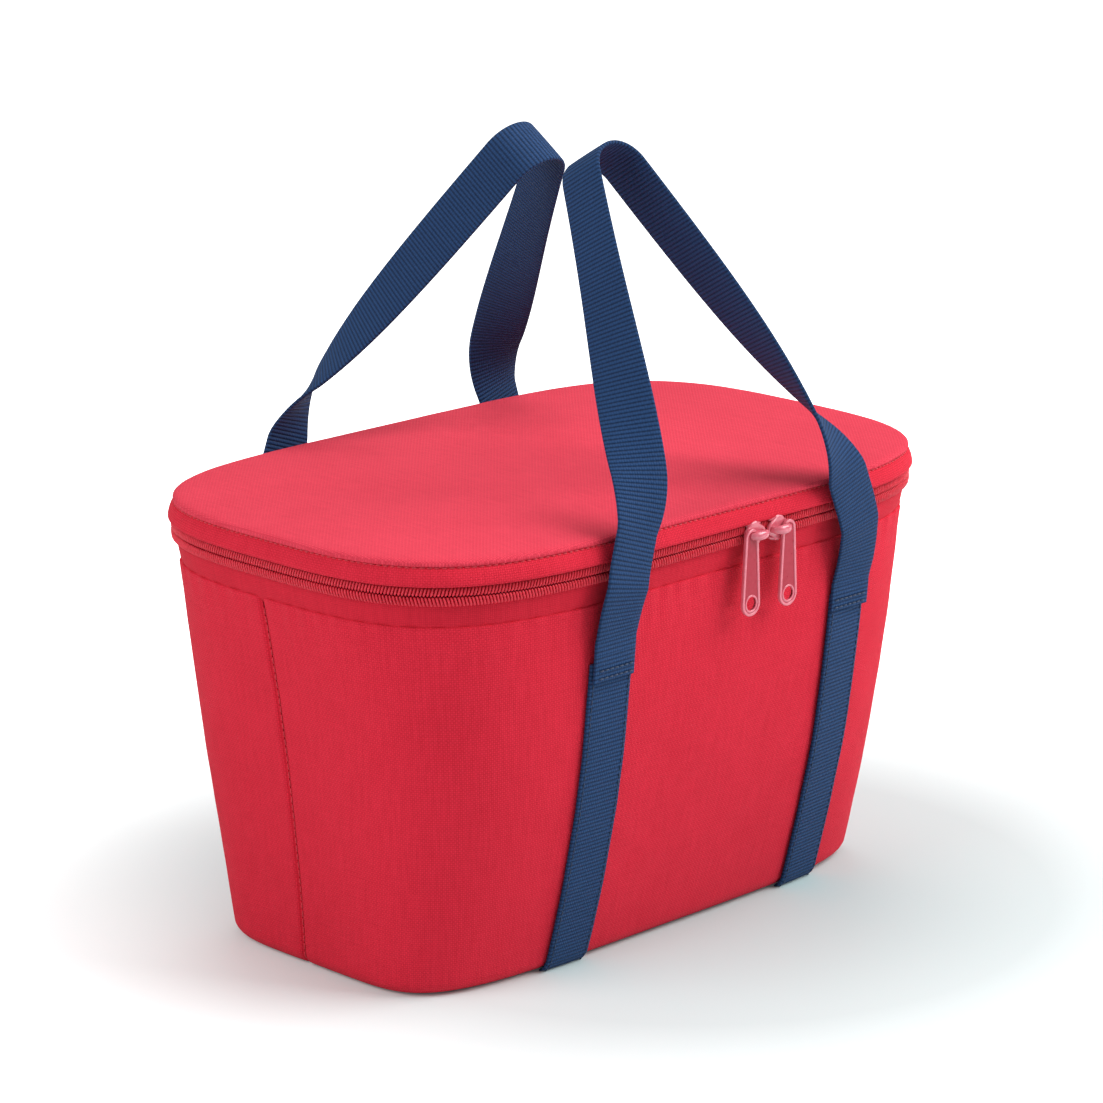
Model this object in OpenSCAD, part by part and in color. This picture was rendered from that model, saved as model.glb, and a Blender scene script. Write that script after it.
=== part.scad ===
// Soft insulated cooler basket with a zipped lid and two webbing carry handles.
// Millimetres. The bag stands on z = 0, its front faces -Y and its lid hinges along the back.

/* [Body] */
// Width of the bag at the zip, end to end
top_w = 275; // [230:1:330]
// Depth of the bag at the zip, front to back
top_d = 170; // [140:1:200]
// Width of the base
base_w = 232; // [200:1:270]
// Depth of the base
base_d = 115; // [100:1:140]
// Height of the seam where the walls end and the zip tape starts
seam_h = 138; // [120:1:170]
// How far the seam pulls the outline in
seam_pinch = 1.5; // [0:0.5:3]
// How far the front and back walls bow out half way up
wall_bow = 4.5; // [2:0.5:14]
// How far the ends draw in half way up
end_draw = 2.8; // [0:0.2:5]
// Radius of the rolled bottom edge
base_roll = 5; // [4:0.5:9]
// Squareness of the top outline across the front, 2 is an ellipse
top_square_x = 4.7; // [2.4:0.1:8]
// Squareness of the top outline across the ends
top_square_y = 3.2; // [1.8:0.1:5]
// Squareness of the base outline across the front
base_square_x = 4.3; // [2.4:0.1:8]
// Squareness of the base outline across the ends
base_square_y = 6; // [2.4:0.1:8]

/* [Cloth and foam] */
// Thickness of the outer polyester with its backing
cloth_t = 0.8; // [0.5:0.1:1.5]
// Thickness of the insulating foam
foam_t = 5; // [3:0.5:8]
// Thickness of the foil lining
lining_t = 0.5; // [0.3:0.1:1]
// Thickness of the stiff board in the base
board_t = 2; // [1:0.5:4]
// Gap between the base layers and the wall layers
layer_gap = 0.3; // [0.2:0.1:1]
// Height of the binding that covers a raw sandwich edge
binding_h = 2.4; // [1.5:0.1:5]

/* [Lid] */
// Height of the lid seam above the zip
lid_band_h = 10; // [7:0.5:16]
// Rise of the lid from its seam to its middle
dome_h = 5; // [1:0.5:12]

/* [Zip] */
// Height of the zip above the wall seam
tape_below = 12; // [8:0.5:18]
// Thickness of the zip tape
tape_t = 0.7; // [0.5:0.1:1.2]
// Width of the closed chain across both coils
chain_w = 6; // [4:0.5:9]
// How far the coils stand out from the tape
coil_t = 1.2; // [0.8:0.1:2]
// Gap between the two coils
coil_gap = 0.6; // [0.4:0.1:1]
// Width of the cloth hinge at the back where the zip stops
hinge_w = 160; // [120:2:200]
// Length of the tab that closes each end of the zip
end_tab_l = 10; // [6:1:16]
// Height of an end tab
end_tab_h = 7; // [4:0.5:9]

/* [Sliders] */
// Length of a slider along the zip
slider_l = 10.5; // [9:0.5:14]
// Width of a slider across the zip
slider_w = 9; // [7:0.5:12]
// Thickness of a slider's top plate
slider_t = 1.4; // [1:0.1:2]
// Gap between a slider and the coils under it
slider_clear = 0.3; // [0.3:0.1:0.6]
// Radius of the wire leg that carries a pull
leg_r = 0.9; // [0.7:0.05:1.1]
// Height of the bridge's inside above the top plate
bridge_clear = 2.2; // [2:0.1:3]
// Clearance between a leg and a pull's eye
eye_clear = 0.3; // [0.2:0.05:0.5]
// Distance from the meeting point of the sliders to each slider's middle
slider_offset = 6; // [5.8:0.2:9]
// Where the sliders meet, measured from the bag's middle
meeting_x = 20; // [-10:1:22]

/* [Pulls] */
// Width of a pull at its lower end
pull_w = 9.2; // [7:0.2:10]
// Width of a pull under its eye
pull_top_w = 6.6; // [5:0.2:8]
// Length of a pull
pull_l = 29; // [20:1:34]
// Thickness of a pull
pull_t = 1.3; // [1:0.1:1.8]
// Radius of the round hole at a pull's lower end
pull_hole_r = 2.3; // [1.5:0.1:2.6]

/* [Handles] */
// Width of the webbing
webbing_w = 20; // [15:1:25]
// Thickness of the webbing
webbing_t = 1.4; // [1:0.1:2]
// Distance between the middles of the two straps on one side
strap_spread = 124; // [100:1:150]
// Height of the stitching where a strap leaves the wall
tack_h = 118; // [90:1:125]
// How far the straps sit to the right of the bag's middle
strap_shift = 8; // [-10:1:12]
// Gap between the free strap and the zip's coils
strap_clear = 1; // [0.6:0.1:3]
// Gap between the free strap's lower end and the wall
foot_clear = 0.3; // [0.3:0.1:1]
// Height above the lid seam at which the handles start to lean in
lean_above = 4; // [2:1:20]
// Radius of the bend at which the handles lean in
lean_r = 40; // [30:1:60]
// Lean of the front handle over the lid, in degrees from upright
front_lean = 31; // [20:1:36]
// Lean of the back handle over the lid, in degrees from upright
back_lean = 35; // [20:1:36]
// How far the front handle's top sways to the left
front_sway = 14; // [-20:1:20]
// How far the back handle's top sways to the right
back_sway = 6; // [-20:1:20]
// Slope of each leg towards the middle of its handle, in degrees
leg_slope = 19; // [18:0.5:28]
// Height above the stitching at which each leg starts to bend to that slope
bend_above = 10; // [10:1:40]
// Radius at which each leg bends to that slope
leg_bend_r = 80; // [40:1:110]
// Radius of a handle's top
apex_r = 12; // [8:0.5:14]
// How early the leg that twists first turns edge-on, higher is earlier
quick_twist = 3.2; // [2.2:0.1:5]
// How early the other leg turns edge-on
slow_twist = 2.2; // [2:0.1:5]

/* [Hidden] */
$fn = 32;
zip_h = seam_h + tape_below;
lid_h = zip_h + lid_band_h;
touch = 0.4;                      // room between layers that are glued or sewn together
sandwich = cloth_t + foam_t + lining_t + 2 * touch;
lid_depth = foam_t + lining_t + 2 * touch;
cells = 12;                       // outline steps in a quarter of the outline
wall_cells = 7;                   // steps up the wall above the rolled edge
board_z = cloth_t + layer_gap;
base_foam_z = board_z + board_t;
base_lining_z = base_foam_z + foam_t;
leg_clear = webbing_t;            // room that a strap's end needs to turn on its fold line
foot_l = 8;                       // length of the strap's short foot above the stitching
strap_y = top_d / 2 + coil_t + strap_clear + webbing_t / 2;
plate_y = -top_d / 2 - coil_t - slider_clear - slider_t;
eye_r = leg_r + eye_clear;

// ---- outline of the bag ----

function mix(a, b, k) = a + (b - a) * k;
function roll_in(z) = z < base_roll ? base_roll - sqrt(pow(base_roll, 2) - pow(base_roll - z, 2)) : 0;
function belly(z) = 4 * rise(z) * (1 - rise(z));
function rise(z) = min(z / seam_h, 1);
function pinch(z) = z < seam_h ? seam_pinch * rise(z) : seam_pinch * max(0, 1 - (z - seam_h) / tape_below);
function half_w(z) = mix(base_w, top_w, rise(z)) / 2 - pinch(z) - roll_in(z) - end_draw * belly(z);
function half_d(z) = mix(base_d, top_d, rise(z)) / 2 - pinch(z) - roll_in(z) + wall_bow * belly(z);
function square_x(z) = mix(base_square_x, top_square_x, rise(z));
function square_y(z) = mix(base_square_y, top_square_y, rise(z));
function signed_pow(v, e) = sign(v) * pow(abs(v), e);

// A point on the outline at height z, drawn in by inset
function rim(a, z, inset) = [(half_w(z) - inset) * signed_pow(cos(a), 2 / square_x(z)),
                             (half_d(z) - inset) * signed_pow(sin(a), 2 / square_y(z)), z];
// Depth of the wall at x
function wall_y(x, z) = half_d(z) * pow(1 - pow(abs(x) / half_w(z), square_x(z)), 1 / square_y(z));

// Outline angles, closer together at the middle of each side, where a square outline needs them
function ease(u) = u * u * u * (10 - 15 * u + 6 * u * u);
function quarter(i) = 90 * (floor(i / cells) + ease((i % cells) / cells));
rim_angles = [for (i = [0 : 4 * cells - 1]) quarter(i)];
function arc_angles(a, b) = concat([a], [for (i = [0 : 8 * cells]) let (q = quarter(i))
                                         if (q > a + 1 && q < b - 1) q], [b]);
// Angle of the point at x on the back of the outline above the seam
function back_angle(x) = acos(pow(x / (top_w / 2), top_square_x / 2));
hinge_a = back_angle(hinge_w / 2);
tab_a = back_angle(hinge_w / 2 + end_tab_l);

wall_heights = concat([for (k = [0.2, 0.5]) base_roll * k],
                      [for (i = [0 : wall_cells]) mix(base_roll, seam_h, i / wall_cells)]);

// ---- solids made from sections ----

// A solid through a row of sections, each a list of as many points
module loft(sections, closed = false) {
    n = len(sections[0]);
    m = len(sections);
    sides = [for (i = [0 : m - (closed ? 1 : 2)]) for (j = [0 : n - 1])
             [i * n + j, i * n + (j + 1) % n, ((i + 1) % m) * n + (j + 1) % n, ((i + 1) % m) * n + j]];
    ends = closed ? [] : [[for (j = [n - 1 : -1 : 0]) j], [for (j = [0 : n - 1]) (m - 1) * n + j]];
    polyhedron(points = [for (s = sections) for (p = s) p], faces = concat(sides, ends), convexity = 8);
}

// Part of the wall between two insets, following the heights, from angle a to angle b
module wall(heights, out, in, a = 0, b = 360) {
    top = len(heights) - 1;
    full = b - a >= 360;
    loft([for (t = full ? rim_angles : arc_angles(a, b))
          concat([for (z = heights) rim(t, z, out)],
                 [for (i = [top : -1 : 0]) rim(t, heights[i], in)])], full);
}

// A level slab that fills the outline between two heights
module slab(z0, z1, inset) {
    loft([for (z = [z0, z1]) [for (a = rim_angles) rim(a, z, inset)]]);
}

// Height of the lid's skin, share 1 at the seam and 0 in the middle
function dome(share) = lid_h + dome_h * (1 - pow(share, 2.5));

// A layer of the lid between two depths below its skin
module lid_layer(depth0, depth1, inset) {
    shares = [0.1, 0.3, 0.5, 0.7, 0.85, 1];
    last = len(shares) - 1;
    loft(concat([for (i = [0 : last]) lid_ring(shares[i], depth1, inset)],
                [for (i = [last : -1 : 0]) lid_ring(shares[i], depth0, inset)]));
}
function lid_ring(share, depth, inset) = [for (a = rim_angles)
    let (p = rim(a, lid_h, inset)) [p[0] * share, p[1] * share, dome(share) - depth]];

// ---- body ----

cloth_heights = concat([cloth_t], wall_heights);
module outer_front_panel() color([0.86, 0.13, 0.22]) wall(cloth_heights, 0, cloth_t, 180, 360);
module outer_back_panel() color([0.84, 0.12, 0.2]) wall(cloth_heights, 0, cloth_t, 0, 180);
module outer_base_panel() color([0.7, 0.1, 0.17]) slab(0, cloth_t, 0);

foam_heights = [for (z = wall_heights) max(z, board_z)];
foam_out = cloth_t + touch;
module foam_wall(a, b) color([0.93, 0.93, 0.9]) wall(foam_heights, foam_out, foam_out + foam_t, a, b);
module front_foam() foam_wall(180, 360);
module back_foam() foam_wall(0, 180);

inner = foam_out + foam_t + layer_gap;
module base_board() color([0.35, 0.33, 0.3]) slab(board_z, base_foam_z, inner);
module base_foam() color([0.93, 0.93, 0.9]) slab(base_foam_z, base_lining_z, inner);
module base_lining() color([0.8, 0.82, 0.84])
    slab(base_lining_z, base_lining_z + lining_t, sandwich + layer_gap);

lining_rows = concat([base_lining_z], [for (z = wall_heights) if (z > base_lining_z + 1) z]);
module lining_wall(a, b) color([0.82, 0.84, 0.86]) wall(lining_rows, sandwich - lining_t, sandwich, a, b);
module front_lining() lining_wall(180, 360);
module back_lining() lining_wall(0, 180);

// Tape folded over the top of the sandwich, behind the zip tape
module body_binding() color([0.66, 0.08, 0.14]) wall([seam_h, seam_h + binding_h], tape_t, sandwich);

// ---- zip and cloth hinge ----

module zip_tape_lower() color([0.72, 0.08, 0.15])
    wall([seam_h, zip_h - coil_gap / 2], 0, tape_t, 180 - hinge_a, 360 + hinge_a);
module zip_tape_upper() color([0.72, 0.08, 0.15])
    wall([zip_h + coil_gap / 2, lid_h], 0, tape_t, 180 - hinge_a, 360 + hinge_a);
module coil(z0, z1) color([0.6, 0.05, 0.12]) wall([z0, z1], -coil_t, 0, 180 - tab_a, 360 + tab_a);
module zip_coil_lower() coil(zip_h - chain_w / 2, zip_h - coil_gap / 2);
module zip_coil_upper() coil(zip_h + coil_gap / 2, zip_h + chain_w / 2);
module hinge_strip_lower() color([0.8, 0.1, 0.18])
    wall([seam_h, zip_h - coil_gap / 2], 0, tape_t, hinge_a, 180 - hinge_a);
module hinge_strip_upper() color([0.8, 0.1, 0.18])
    wall([zip_h + coil_gap / 2, lid_h], 0, tape_t, hinge_a, 180 - hinge_a);
module zip_end_tabs() color([0.8, 0.1, 0.18]) {
    tab_rows = [zip_h - coil_gap / 2 - end_tab_h, zip_h - coil_gap / 2];
    wall(tab_rows, -coil_t, 0, tab_a, hinge_a);
    wall(tab_rows, -coil_t, 0, 180 - hinge_a, 180 - tab_a);
}

// ---- lid ----

module lid_top_panel() color([0.9, 0.22, 0.3]) lid_layer(-cloth_t, 0, 0);
module lid_foam() color([0.93, 0.93, 0.9]) lid_layer(touch, touch + foam_t, tape_t + touch);
module lid_lining() color([0.82, 0.84, 0.86]) lid_layer(lid_depth - lining_t, lid_depth, tape_t + touch);
module lid_binding() color([0.66, 0.08, 0.14])
    wall([lid_h - lid_depth - binding_h / 2, lid_h - lid_depth], tape_t, sandwich);

// ---- handles ----

// Webbing sewn to the front wall from the base up to the stitching
module sewn_strap(x0) {
    columns = [for (k = [-0.5 : 0.25 : 0.5]) x0 + k * webbing_w];
    rows = concat([for (z = wall_heights) if (z < tack_h - 4) z], [tack_h - leg_clear]);
    color([0.14, 0.22, 0.37])
    loft([for (z = rows) concat([for (x = columns) [x, -wall_y(x, z) - touch, z]],
                                [for (i = [4 : -1 : 0])
                                 [columns[i], -wall_y(columns[i], z) - touch - webbing_t, z]])]);
}
left_x = strap_shift - strap_spread / 2;
right_x = strap_shift + strap_spread / 2;
module to_back() mirror([0, 1, 0]) children();
module strap_front_left() sewn_strap(left_x);
module strap_front_right() sewn_strap(right_x);
module strap_back_left() to_back() sewn_strap(left_x);
module strap_back_right() to_back() sewn_strap(right_x);

// Side view of a handle: how far out and how high the webbing's middle lies at length s above the stitching
tack_y = wall_y(0, tack_h) + foot_clear + webbing_t / 2;
lean_z = lid_h + lean_above;
upright = lean_z - tack_h;
function lean_angle(s, lean) = min(max((s - upright) / lean_r * 180 / PI, 0), lean);
function out_y(s, lean) = let (a = lean_angle(s, lean), rest = max(s - upright - lean * PI / 180 * lean_r, 0))
    mix(tack_y, strap_y, min(s / (zip_h - chain_w - tack_h), 1)) - lean_r * (1 - cos(a)) - rest * sin(lean);
function up_z(s, lean) = let (a = lean_angle(s, lean), rest = max(s - upright - lean * PI / 180 * lean_r, 0))
    tack_h + min(s, upright) + lean_r * sin(a) + rest * cos(lean);

// Front view of a leg laid flat: upright, a bend, a straight slope and half of the handle's top
slope_l = (strap_spread / 2 - leg_bend_r * (1 - cos(leg_slope)) - apex_r * cos(leg_slope)) / sin(leg_slope);
bend_top = bend_above + leg_bend_r * sin(leg_slope);
apex_s = bend_top + slope_l * cos(leg_slope) - apex_r * sin(leg_slope);
handle_s = apex_s + apex_r;
leg_line = concat(
    [for (s = [foot_l + leg_clear, bend_above]) [strap_spread / 2, s, 0]],
    [for (k = [0.2 : 0.2 : 1]) let (a = leg_slope * k)
        [strap_spread / 2 - leg_bend_r * (1 - cos(a)), bend_above + leg_bend_r * sin(a), a]],
    [for (k = [0.06, 0.12, 0.19, 0.27, 0.37, 0.5, 0.65, 0.82]) [mix(strap_spread / 2
        - leg_bend_r * (1 - cos(leg_slope)), apex_r * cos(leg_slope), k),
        bend_top + slope_l * cos(leg_slope) * k, leg_slope]],
    [for (k = [0 : 0.2 : 0.99]) let (a = mix(leg_slope, 90, k)) [apex_r * cos(a), apex_s + apex_r * sin(a), a]]);

// The webbing twists from flat on the wall to edge-on at the handle's top
function twist(s, early) = s < upright ? 0 : 90 * (1 - pow(1 - (s - upright) / (handle_s - upright), early));

// A cross-section of the front webbing at a point of the leg line, p = [x, s, turn]. way is 1 on the
// right leg, which the section climbs, and -1 on the left one, which it goes down
function strap_section(p, way, lean, sway, early = slow_twist) =
    let (tilt = lean_angle(p[1], lean),
         aside = sway * max(p[1] - bend_above, 0) / (handle_s - bend_above),
         up = [0, sin(tilt), cos(tilt)],
         out = [0, -cos(tilt), sin(tilt)],
         turn = way > 0 ? p[2] : 180 - p[2],
         flat = [cos(turn), 0, 0] + sin(turn) * up,
         t = twist(p[1], early),
         wide = cos(t) * flat - sin(t) * out,
         thick = sin(t) * flat + cos(t) * out,
         middle = [strap_shift + aside + way * p[0], -out_y(p[1], lean), up_z(p[1], lean)])
    [for (k = [[-1, -1], [1, -1], [1, 1], [-1, 1]])
        middle + k[0] * wide * webbing_w / 2 + k[1] * thick * webbing_t / 2];

module handle_loop(lean, sway, right_twist, left_twist) {
    last = len(leg_line) - 1;
    color([0.14, 0.22, 0.37])
    loft(concat([for (p = leg_line) strap_section(p, 1, lean, sway, right_twist)],
                [strap_section([0, handle_s, 90], 1, lean, sway)],
                [for (i = [last : -1 : 0]) strap_section(leg_line[i], -1, lean, sway, left_twist)]));
}
module handle_feet(lean) {
    color([0.14, 0.22, 0.37])
    for (way = [-1, 1])
        loft([for (s = way > 0 ? [leg_clear, foot_l - leg_clear] : [foot_l - leg_clear, leg_clear])
              strap_section([strap_spread / 2, s, 0], way, lean, 0)]);
}
module front_handle() handle_loop(front_lean, -front_sway, quick_twist, slow_twist);
module front_handle_feet() handle_feet(front_lean);
module back_handle() to_back() handle_loop(back_lean, back_sway, slow_twist, quick_twist);
module back_handle_feet() to_back() handle_feet(back_lean);

// ---- sliders ----

// A slider hangs its pull on the leg that is further from the meeting point. way is -1 at the left
module slider(way) {
    x0 = meeting_x + way * slider_offset;
    leg_x = slider_l / 2 - leg_r - 0.6;
    bridge_y = plate_y - bridge_clear - leg_r;
    color([0.85, 0.36, 0.42]) {
        translate([x0, plate_y + slider_t / 2, zip_h]) rotate([90, 0, 0])
            linear_extrude(slider_t, center = true) offset(1.2) offset(-1.2)
            polygon([[-slider_l / 2, -slider_w / 3], [0, -slider_w / 2], [slider_l / 2, -slider_w / 3],
                     [slider_l / 2, slider_w / 3], [0, slider_w / 2], [-slider_l / 2, slider_w / 3]]);
        for (m = [-1, 1])
            translate([x0 + m * leg_x, plate_y, zip_h]) rotate([90, 0, 0])
            cylinder(r = leg_r, h = bridge_clear + leg_r);
        translate([x0 - leg_x, bridge_y, zip_h]) rotate([0, 90, 0]) cylinder(r = leg_r, h = 2 * leg_x);
        for (m = [-1, 1]) translate([x0 + m * leg_x, bridge_y, zip_h]) sphere(leg_r);
    }
}
module slider_left() slider(-1);
module slider_right() slider(1);

// A flat pull with a round eye at the top and a larger hole at its lower end
module pull(way) {
    x0 = meeting_x + way * (slider_offset + slider_l / 2 - leg_r - 0.6);
    end_r = pull_w / 2;
    top_r = pull_top_w / 2;
    eye_wall = 1.1;
    color([0.88, 0.4, 0.46])
    translate([x0, plate_y - bridge_clear / 2, zip_h]) rotate([90, 0, 0])
    difference() {
        linear_extrude(pull_t, center = true) difference() {
            union() {
                circle(eye_r + eye_wall);
                polygon([[eye_wall - top_r, 0], [top_r - eye_wall, 0], [top_r, -eye_r], [end_r, end_r - pull_l],
                         [-end_r, end_r - pull_l], [-top_r, -eye_r]]);
                translate([0, -pull_l + end_r]) circle(end_r);
            }
            translate([0, -pull_l + end_r]) circle(pull_hole_r);
        }
        cylinder(r = eye_r, h = 3 * pull_t, center = true);
    }
}
module pull_left() pull(-1);
module pull_right() pull(1);

outer_front_panel();
outer_back_panel();
outer_base_panel();
front_foam();
back_foam();
base_board();
base_foam();
front_lining();
back_lining();
base_lining();
body_binding();
zip_tape_lower();
zip_coil_lower();
zip_end_tabs();
hinge_strip_lower();
strap_front_left();
strap_front_right();
strap_back_left();
strap_back_right();
lid_top_panel();
lid_foam();
lid_lining();
lid_binding();
zip_tape_upper();
zip_coil_upper();
hinge_strip_upper();
front_handle_feet();
front_handle();
back_handle_feet();
back_handle();
slider_left();
slider_right();
pull_left();
pull_right();
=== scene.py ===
import math

import bpy
import numpy as np
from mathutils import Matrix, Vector, noise


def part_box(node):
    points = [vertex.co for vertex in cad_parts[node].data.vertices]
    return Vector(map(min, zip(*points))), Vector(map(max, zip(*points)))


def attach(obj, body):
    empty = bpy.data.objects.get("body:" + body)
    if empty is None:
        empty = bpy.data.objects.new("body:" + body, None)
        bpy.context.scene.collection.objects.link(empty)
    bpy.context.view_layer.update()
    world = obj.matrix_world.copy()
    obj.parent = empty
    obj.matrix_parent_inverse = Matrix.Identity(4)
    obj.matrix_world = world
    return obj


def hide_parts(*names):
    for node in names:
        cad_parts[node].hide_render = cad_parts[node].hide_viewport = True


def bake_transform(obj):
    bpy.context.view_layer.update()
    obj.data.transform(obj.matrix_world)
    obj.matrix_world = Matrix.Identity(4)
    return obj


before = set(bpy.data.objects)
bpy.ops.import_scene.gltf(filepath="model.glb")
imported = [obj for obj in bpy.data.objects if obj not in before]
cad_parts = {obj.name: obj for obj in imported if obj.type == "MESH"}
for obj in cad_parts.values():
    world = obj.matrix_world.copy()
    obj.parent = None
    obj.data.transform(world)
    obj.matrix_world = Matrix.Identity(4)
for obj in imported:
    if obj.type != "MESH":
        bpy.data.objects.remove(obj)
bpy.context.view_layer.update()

# ---- wall cloth ----
# Two panels of woven red polyester, one for the front and one for the back, meet in a
# topstitched seam at the middle of each round end. They are drawn tight over the foam,
# roll under at the base, and turn in at the top where the zip tape is sewn behind them.

MM = 0.001
cloth_t = 0.8 * MM
base_roll = 5 * MM
seam_pinch = 1.5 * MM
wall_bow = 4.5 * MM
end_draw = 2.8 * MM
base_square = (4.3, 6.0)
top_square = (4.7, 3.2)
outline_count = 2001
seam_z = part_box("outer_front_panel")[1].z
zip_z = (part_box("zip_tape_lower")[1].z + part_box("zip_tape_upper")[0].z) / 2
top_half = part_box("lid_top_panel")[1]
base_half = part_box("outer_base_panel")[1]


def rise(z):
    """Share of the walls' height at height z, from 0 at the base to 1 at the seam."""
    return np.clip(z / seam_z, 0, 1)


def half_sizes(z):
    """Half width and half depth of the bag's outline at height z."""
    share = rise(z)
    belly = 4 * share * (1 - share)
    above = np.clip(1 - (z - seam_z) / (zip_z - seam_z), 0, 1)
    pinch = seam_pinch * np.where(z < seam_z, share, above)
    tuck = np.clip(1 - z / base_roll, 0, 1)
    roll = base_roll * (1 - np.sqrt(1 - tuck ** 2))
    foot_w, foot_d = base_half.x + base_roll, base_half.y + base_roll
    wide = foot_w + (top_half.x - foot_w) * share - pinch - roll - end_draw * belly
    deep = foot_d + (top_half.y - foot_d) * share - pinch - roll + wall_bow * belly
    return wide, deep


def outline(z, places, out=0.0):
    """Points of the outline at height z, at shares of its length counted from the right end
    through the back, moved outwards by out."""
    wide, deep = half_sizes(np.float64(z))
    square_x, square_y = (b + (t - b) * rise(z) for b, t in zip(base_square, top_square))
    a = np.linspace(0, 2 * np.pi, outline_count)
    x = wide * np.sign(np.cos(a)) * np.abs(np.cos(a)) ** (2 / square_x)
    y = deep * np.sign(np.sin(a)) * np.abs(np.sin(a)) ** (2 / square_y)
    length = np.r_[0, np.cumsum(np.hypot(np.diff(x), np.diff(y)))]
    at = np.mod(places, 1.0) * length[-1]
    step = 0.4 * MM
    runs = [np.mod(at + shift, length[-1]) for shift in (0, step, -step)]
    here, ahead, behind = ((np.interp(run, length, x), np.interp(run, length, y)) for run in runs)
    tx, ty = ahead[0] - behind[0], ahead[1] - behind[1]
    size = np.hypot(tx, ty)
    return np.stack([here[0] + out * ty / size, here[1] - out * tx / size,
                     np.full(len(at), float(z))], -1)


rim = outline(zip_z, np.linspace(0, 1, 721))
girth = np.hypot(*np.diff(rim[:, :2], axis=0).T).sum()


def cloth_object(name, places, faces, cloth):
    """A smooth mesh that keeps each point's place on the flat cloth, along and across."""
    mesh = bpy.data.meshes.new(name)
    mesh.from_pydata(places.tolist(), [], [[int(i) for i in face] for face in faces])
    layer = mesh.attributes.new("threads", "FLOAT_VECTOR", "POINT")
    layer.data.foreach_set("vector", np.c_[cloth, np.zeros(len(cloth))].astype(np.float32).ravel())
    mesh.shade_smooth()
    piece = bpy.data.objects.new(name, mesh)
    bpy.context.collection.objects.link(piece)
    return piece


def skin(name, points, threads, thickness, close=False):
    """A sheet with edges. Its front is a grid of points and faces the columns' way crossed with
    the rows' way, and its back lies a thickness behind."""
    if close:
        points = np.concatenate([points, points[:, :1]], 1)
        threads = np.concatenate([threads, 2 * threads[:, -1:] - threads[:, -2:-1]], 1)
    rows, columns = points.shape[:2]
    count = rows * columns
    corner = np.add.outer(np.arange(rows - 1) * columns, np.arange(columns - 1)).ravel()
    faces = np.stack([corner, corner + 1, corner + columns + 1, corner + columns], -1)
    normal = np.cross(np.gradient(points, axis=1), np.gradient(points, axis=0))
    if close:
        normal[:, 0] = normal[:, -1] = normal[:, 0] + normal[:, -1]
    normal /= np.linalg.norm(normal, axis=-1, keepdims=True) + 1e-12
    edge = np.concatenate([
        np.arange(columns - 1), np.arange(columns - 1, count - 1, columns),
        np.arange(count - 1, count - columns, -1), np.arange(count - columns, 0, -columns)])
    after = np.roll(edge, -1)
    rim_faces = np.stack([after, edge, edge + count, after + count], -1)
    faces = np.concatenate([faces, faces[:, ::-1] + count, rim_faces])
    places = np.concatenate([points.reshape(-1, 3), (points - thickness * normal).reshape(-1, 3)])
    return cloth_object(name, places, faces, np.tile(threads.reshape(-1, 2), (2, 1)))


def ripple(x, y, z, size, seed):
    """Soft unevenness of cloth, from -1 to 1, in lumps of about that size."""
    flat = np.stack(np.broadcast_arrays(x, y, z), -1).reshape(-1, 3) / size + seed
    return np.array([noise.noise(Vector(p)) for p in flat]).reshape(np.shape(x))


wave_w, wave_h = 55 * MM, 0.8 * MM
lump_w, lump_h = 16 * MM, 0.25 * MM
tight_foot, foot_fade, seam_fade = 4 * MM, 20 * MM, 9 * MM


def slack(points):
    """How far the wall cloth lies off the bag's plain form, in broad waves with small lumps."""
    x, y, z = points[..., 0], points[..., 1], points[..., 2]
    fade = np.clip((z - tight_foot) / foot_fade, 0, 1) * np.clip((seam_z - z) / seam_fade, 0, 1)
    waves = wave_h * ripple(x, y, z * 0.6, wave_w, 3.1)
    return fade * (waves + lump_h * ripple(x, y, z, lump_w, 6.2))


end_seam = 0.0066  # share of the girth from an end's middle to its seam
panel_gap = 0.25 * MM / girth
seam_tuck, seam_tuck_w = 1.1 * MM, 0.9 * MM
seam_sink, seam_sink_w = 0.25 * MM, 4 * MM
pucker_h, pucker_w, pucker_fade = 0.28 * MM, 9 * MM, 6 * MM


def wall_panel(name, start, stop):
    """One wall panel between two seams, given as shares of the girth."""
    near = np.array([0, 0.3, 0.7, 1.2, 1.8, 2.6, 3.6, 5]) * MM / girth
    inset = 7 * MM / girth
    places = np.concatenate([
        start + near, np.linspace(start + inset, stop - inset, 300), stop - near[::-1]])
    from_seam = np.minimum(places - start, stop - places) * girth
    tuck_in = -seam_tuck * np.exp(-(from_seam / seam_tuck_w) ** 2)
    tuck_in = tuck_in - seam_sink * np.exp(-from_seam / seam_sink_w)
    top = seam_z / MM
    heights = np.concatenate([
        [0.25, 0.7, 1.3, 2.1, 3.1, 4.2], np.linspace(5.5, top - 8, 90),
        top - np.array([6, 4.2, 2.8, 1.7, 0.9, 0.4])]) * MM
    rows = np.array([outline(z, places) for z in heights])
    normal = np.array([outline(z, places, MM) for z in heights]) - rows
    under_seam = (seam_z - rows[..., 2]) / pucker_fade
    wander = 3.5 * ripple(rows[..., 0], rows[..., 1], 0, 30 * MM, 8.0)
    pucker = pucker_h * np.exp(-under_seam) * np.sin(
        2 * np.pi * places * girth / pucker_w + wander)
    rows = rows + normal / MM * (slack(rows) + pucker + tuck_in)[..., None]
    lip = [(0.0, 0.0), (0.3, -0.12), (0.5, -0.45), (0.5, -0.9), (0.2, -1.3)]  # up and out, mm
    turned = [rows[-1] + normal[-1] * o + np.array([0, 0, (0.4 + u) * MM]) for u, o in lip]
    rows = np.concatenate([rows, turned])
    up = np.concatenate([heights, seam_z + 0.5 * MM * np.arange(len(lip))])
    threads = np.stack(np.broadcast_arrays(places * girth, up[:, None]), -1)
    return skin(name, rows, threads, cloth_t)


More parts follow.
